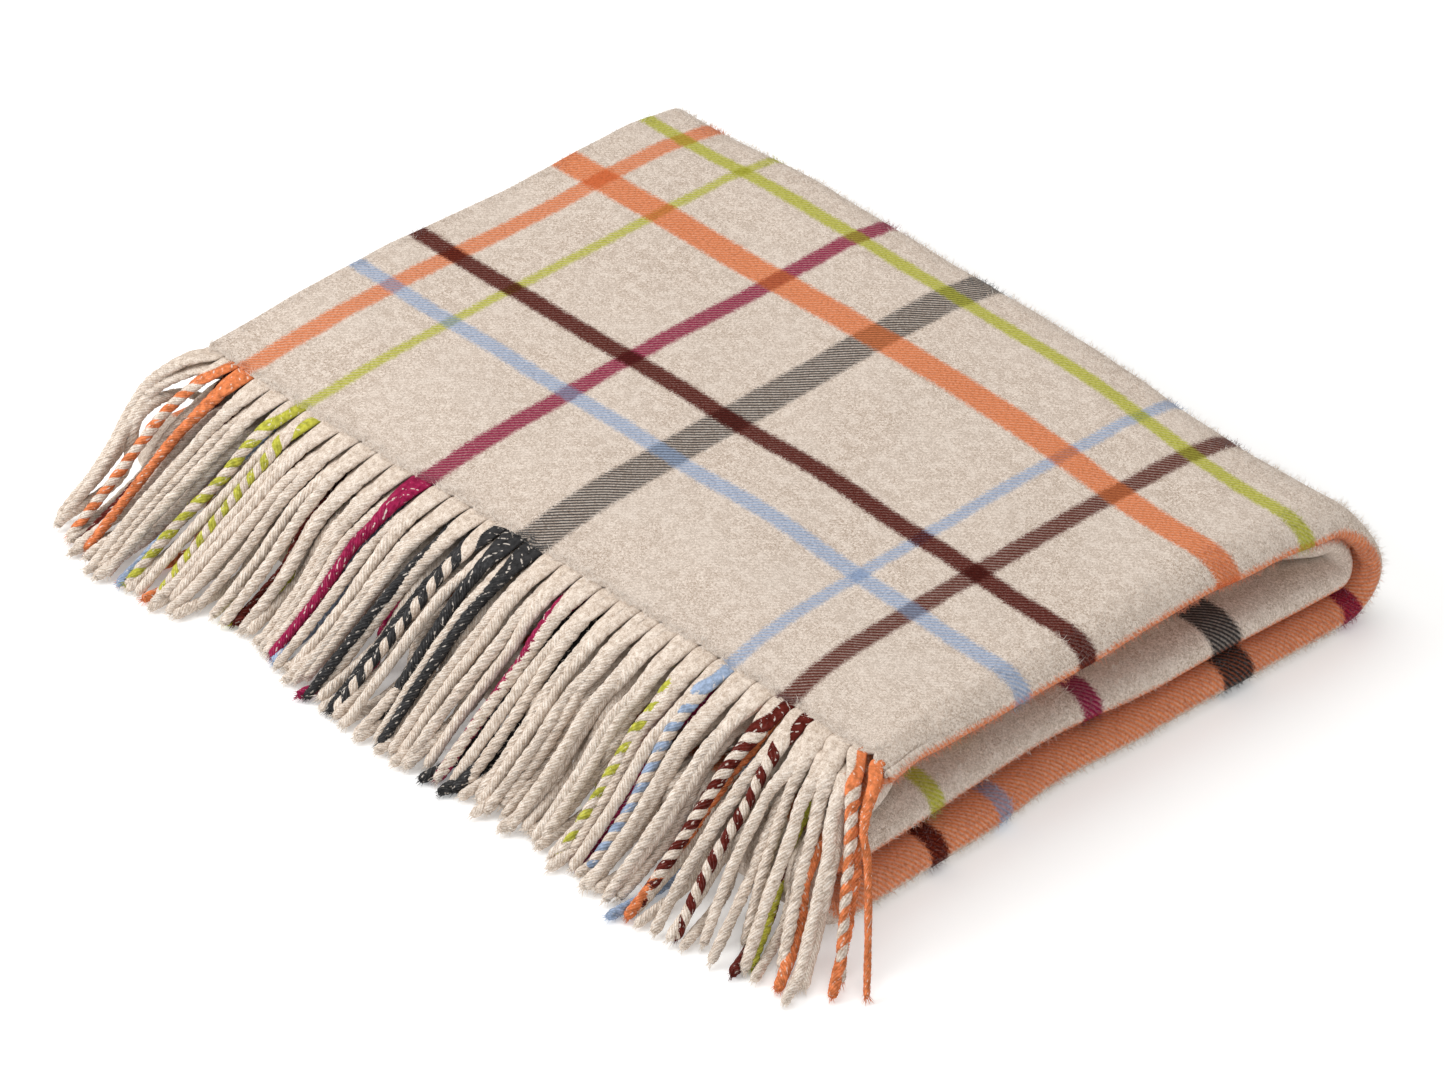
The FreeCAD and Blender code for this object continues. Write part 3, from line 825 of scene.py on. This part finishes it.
def ply_rings(line, level, rise, angle, sizes, ply):
    """Rings of points round one of the two plies, which twist round the tassel's middle line."""
    phase = sizes["twist"] + math.pi * ply
    radial = np.cos(phase)[:, None] * level + np.sin(phase)[:, None] * rise
    tangential = -np.sin(phase)[:, None] * level + np.cos(phase)[:, None] * rise
    off = ((radial * sizes["apart"][:, None])[:, None]
           + radial[:, None] * (sizes["wide"][:, None] * np.cos(angle))[..., None]
           + tangential[:, None] * (sizes["deep"][:, None] * np.sin(angle))[..., None])
    sideways = np.sum(off * level[:, None], axis=2) * sizes["flat_wide"][:, None]
    upright = np.sum(off * rise[:, None], axis=2) * sizes["flat_deep"][:, None]
    return line[:, None] + level[:, None] * sideways[..., None] + rise[:, None] * upright[..., None]


def loose_fibres(skins, tangent, plies, colour, r):
    """Loose fibres along the tassel, and the frayed ends of the yarns at its tip."""
    tones = np.array((OATMEAL, COLOURS.get(colour, OATMEAL)))
    ring = r.integers(6, skins.shape[1] - 1, FIBRES)
    spot = r.integers(0, SIDES, FIBRES)
    which = r.integers(0, 2, FIBRES)
    middles = skins.mean(axis=2)
    base = skins[which, ring, spot]
    out = unit(base - middles[which, ring])
    way = out * r.uniform(0.2, 0.8, FIBRES)[:, None] + tangent[ring] * r.choice((-0.8, 0.8), FIBRES)[:, None]
    way += r.normal(0, 0.25, (FIBRES, 3))
    tip_base = middles[r.integers(0, 2, FRAYS), -1] + r.normal(0, 0.0009, (FRAYS, 3))
    tip_way = tangent[-1] + r.normal(0, 0.30, (FRAYS, 3))
    length = np.concatenate((r.uniform(0.0015, 0.0045, FIBRES), r.uniform(0.0030, 0.0080, FRAYS)))
    radius = np.concatenate((r.uniform(0.00008, 0.00014, FIBRES), r.uniform(0.00018, 0.00032, FRAYS)))
    tone = which if plies == 1 else np.full(FIBRES, int(plies == 2))
    colours = np.concatenate((tones[tone], tones[np.full(FRAYS, int(plies > 0))]))
    base = np.concatenate((base - out * 0.0002, tip_base - tangent[-1] * 0.0015))
    return base, np.concatenate((way, tip_way)), length, radius, colours


def tassel(row, index, colour, plies, grid, r):
    """Two plies twisted together: their points, faces and what the yarn's material reads at each point,
    and their loose fibres."""
    line, places = tassel_line(row, index, plies, grid, r)
    tangent = unit(np.gradient(line, axis=0))
    level = unit(np.stack((-tangent[:, 1], tangent[:, 0], np.zeros(len(line))), axis=1))
    rise = np.cross(tangent, level)
    sizes = rope_sizes(row, index, places, r)
    angle = np.arange(SIDES) / SIDES * 2 * math.pi
    count = len(line)
    points, faces, place, dye, skins = [], [], [], [], []
    base = 0
    for ply in range(2):
        rings = ply_rings(line, level, rise, angle, sizes, ply)
        skins.append(rings)
        ids = base + np.arange(count * SIDES).reshape(count, SIDES)
        beside = np.roll(ids, -1, axis=1)
        faces.append(np.stack((ids[:-1], beside[:-1], beside[1:], ids[1:]), axis=-1).reshape(-1, 4))
        base += count * SIDES
        # a point at each end closes the skin, with triangles written as quads that repeat a corner
        caps = (rings[0].mean(axis=0), rings[-1].mean(axis=0) + tangent[-1] * 0.0010)
        points += [rings.reshape(-1, 3), np.stack(caps)]
        for cap, ring in ((base, ids[0]), (base + 1, ids[-1][::-1])):
            faces.append(np.stack((np.full(SIDES, cap), np.roll(ring, -1), ring, ring), axis=1))
        base += 2
        share = 1.0 if plies == 2 or (plies == 1 and ply == 0) else 0.0
        place.append(np.stack((np.repeat(places, SIDES), np.tile(np.cos(angle), count),
                               np.tile(np.sin(angle), count) * sizes["hand"]), axis=1))
        place.append(np.array(((0, 1, 0), (places[-1], 1, 0))))
        dye.append(np.tile((share, r.uniform(0, 1), 0.0), (count * SIDES + 2, 1)))
    skin = [np.concatenate(values) for values in (points, faces, place, dye)]
    return skin, loose_fibres(np.stack(skins), tangent, plies, colour, r)


# ---- loose fibres
FIBRE_POINTS = 5
FIBRE_FACES = np.array(((0, 2, 1), (0, 3, 2), (0, 1, 3), (4, 1, 2), (4, 2, 3), (4, 3, 1)))
SLANT = np.array((0.31, 0.87, 0.38))    # any direction that no fibre runs along
FLOOR_LINE = 0.0002                     # a fibre that meets the floor lies along it


def fibre_mesh(base, way, length, radius):
    """Closed three-sided spindles, one from each base point along its way."""
    way = unit(way)
    aside = unit(np.cross(way, SLANT))
    other = np.cross(way, aside)
    centre = base + way * (length * 0.3)[:, None]
    ring = []
    for k in range(3):
        turn = 2 * math.pi * k / 3
        ring.append(centre + (aside * math.cos(turn) + other * math.sin(turn)) * radius[:, None])
    points = np.stack([base - way * radius[:, None]] + ring + [base + way * length[:, None]], axis=1)
    points[..., 2] = np.maximum(points[..., 2], FLOOR_LINE)
    start = (np.arange(len(base)) * FIBRE_POINTS)[:, None, None]
    return points.reshape(-1, 3), (start + FIBRE_FACES[None]).reshape(-1, 3).tolist()


def nap_object(name, slot, base, way, length, radius, colour):
    points, faces = fibre_mesh(base, way, length, radius)
    obj = mesh_object(name, points, faces, nap)
    put(obj.data, "nap_colour", np.repeat(colour, FIBRE_POINTS, axis=0))
    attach(obj, "root")
    return obj


# fibres that stand out where the outline shows: how many, and where across and along the cloth
NAP_AREAS = (
    (17000, (0.655, 0.700), (0.0, 1.36)),      # the long fold's lip
    (10000, (0.0, 0.66), (0.425, 0.52)),       # the turn at the back
    (900, (0.0, 0.008), (0.0, 0.43)),          # the top ply's selvedge
    (2500, (0.0, 0.66), (0.0, 0.006)),         # the top ply's fringed edge
)
TOP_ROW, TOP_COLUMN = len(S_GRID) // 10, 30    # a grid point of the top ply, whose outside faces up


def cloth_nap(middle):
    r = np.random.default_rng(77)
    normal = grid_normals(middle)
    if normal[TOP_ROW, TOP_COLUMN, 2] < 0:
        normal = -normal
    w, s = [], []
    for count, across, along in NAP_AREAS:
        w.append(r.uniform(*across, count))
        s.append(r.uniform(*along, count))
    w, s = np.concatenate(w), np.concatenate(s)
    j = np.clip(np.searchsorted(W_GRID, w), 1, len(W_GRID) - 1)
    i = np.clip(np.searchsorted(S_GRID, s), 1, len(S_GRID) - 1)
    a = ((w - W_GRID[j - 1]) / (W_GRID[j] - W_GRID[j - 1]))[:, None]
    b = ((s - S_GRID[i - 1]) / (S_GRID[i] - S_GRID[i - 1]))[:, None]

    def at(field):
        return ((1 - b) * ((1 - a) * field[i - 1, j - 1] + a * field[i - 1, j])
                + b * ((1 - a) * field[i, j - 1] + a * field[i, j]))

    out = at(normal)
    base = at(middle) + out * THICK * 0.47
    way = out * r.uniform(0.35, 1.0, len(w))[:, None] + r.normal(0, 0.55, (len(w), 3))
    length = r.uniform(0.0020, 0.0070, len(w))
    radius = r.uniform(0.00010, 0.00018, len(w))
    colour = np.tile(np.array(OATMEAL), (len(w), 1))
    for place, stripes, kind in ((w, WARP, "warp"), (s, WEFT, "weft")):
        off, half, dyed, _ = nearest_stripe(place, stripes, COVER[kind])
        colour = np.where((np.abs(off) < half)[:, None], dyed, colour)
    return nap_object("throw_nap", "woven_cloth", base, way, length, radius, colour * 0.85 + 0.12)


# ---- build
def row_group(row, colour, members, grid):
    """The tassels of one row that have one colour, as one piece, and their loose fibres."""
    skins, strays = [], []
    base = 0
    for i, plies in sorted(members.items()):
        r = np.random.default_rng(1000 * (list(ROWS).index(row) + 1) + i)
        (points, faces, place, dye), fibres = tassel(row, i, colour, plies, grid, r)
        skins.append((points, faces + base, place, dye))
        strays.append(fibres)
        base += len(points)
    points, faces, place, dye = (np.concatenate(values) for values in zip(*skins))
    polygons = [tuple(dict.fromkeys(face)) for face in faces.tolist()]    # each corner once
    obj = mesh_object(f"tassels_{row}_{colour}", points, polygons, yarns[colour])
    put(obj.data, "yarn_place", place)
    put(obj.data, "yarn_dye", dye)
    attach(obj, "root")
    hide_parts(f"fringe_{row}_{colour}")
    return obj, strays


def build_row(row, grid):
    """One row of tassels, a piece for each colour and one for all their loose fibres."""
    groups = dict(ROWS[row]["dyed"])
    taken = {i for members in groups.values() for i in members}
    groups["oatmeal"] = {i: 0 for i in range(ROWS[row]["count"]) if i not in taken}
    out, strays = [], []
    for colour, members in groups.items():
        obj, fibres = row_group(row, colour, members, grid)
        out.append(obj)
        strays += fibres
    fibres = (np.concatenate(values) for values in zip(*strays))
    out.append(nap_object(f"tassels_{row}_nap", "yarn_oatmeal", *fibres))
    return out


nap = nap_material()
yarns = {name: yarn_material(name, colour) for name, colour in {"oatmeal": None, **COLOURS}.items()}
cloth, cloth_grid = cloth_mesh(cloth_material())
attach(cloth, "root")
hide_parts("cloth")
fringe = []
for row_name in ROWS:
    fringe += build_row(row_name, cloth_grid)
fringe.append(cloth_nap(cloth_grid))


# ---- studio
FLOOR_HALF = 6.0
FLOOR_CORNERS = np.array(((-1, -1, 0), (1, -1, 0), (1, 1, 0), (-1, 1, 0))) * FLOOR_HALF
floor = mesh_object("floor", FLOOR_CORNERS, [(0, 1, 2, 3)], floor_material())

LIGHT_AIM = Vector((0, 0, 0.05))


def area_light(name, place, size, power, colour):
    data = bpy.data.lights.new(name, "AREA")
    data.shape = "RECTANGLE"
    data.size, data.size_y = size
    data.energy = power
    data.color = colour
    obj = bpy.data.objects.new(name, data)
    obj.location = place
    obj.rotation_euler = (LIGHT_AIM - Vector(place)).to_track_quat("-Z", "Y").to_euler()
    bpy.context.scene.collection.objects.link(obj)


area_light("overhead", (-0.5, 0.3, 2.6), (2.6, 2.2), 33, (1.0, 0.985, 0.965))
area_light("front_left", (-1.5, -2.1, 1.5), (1.6, 1.4), 50, (1.0, 1.0, 1.0))
area_light("right_fill", (2.2, -1.3, 1.2), (1.6, 1.4), 13, (0.98, 0.99, 1.0))

world = bpy.data.worlds.new("studio")
world.use_nodes = True
world.node_tree.nodes["Background"].inputs["Color"].default_value = (1.0, 1.0, 1.0, 1.0)
world.node_tree.nodes["Background"].inputs["Strength"].default_value = 0.48
bpy.context.scene.world = world
bpy.context.scene.view_settings.view_transform = "Standard"

# The camera looks down on the corner between the fringe and the long fold, from far off with a long lens.
AZIMUTH, ELEVATION = math.radians(47.70), math.radians(34.33)
DISTANCE = 3.303
LENS, SENSOR = 124.5675, 36.0    # millimetres
TARGET = Vector((SELVEDGE_X + 0.379, EDGE_Y + 0.144, 0.05))
OUTWARD = Vector((math.sin(AZIMUTH) * math.cos(ELEVATION), -math.cos(AZIMUTH) * math.cos(ELEVATION),
                  math.sin(ELEVATION)))
camera_data = bpy.data.cameras.new("camera")
camera_data.sensor_width = SENSOR
camera_data.lens = LENS
camera = bpy.data.objects.new("camera", camera_data)
camera.location = TARGET + OUTWARD * DISTANCE
camera.rotation_euler = OUTWARD.to_track_quat("Z", "Y").to_euler()
bpy.context.scene.collection.objects.link(camera)
bpy.context.scene.camera = camera

bpy.context.view_layer.update()
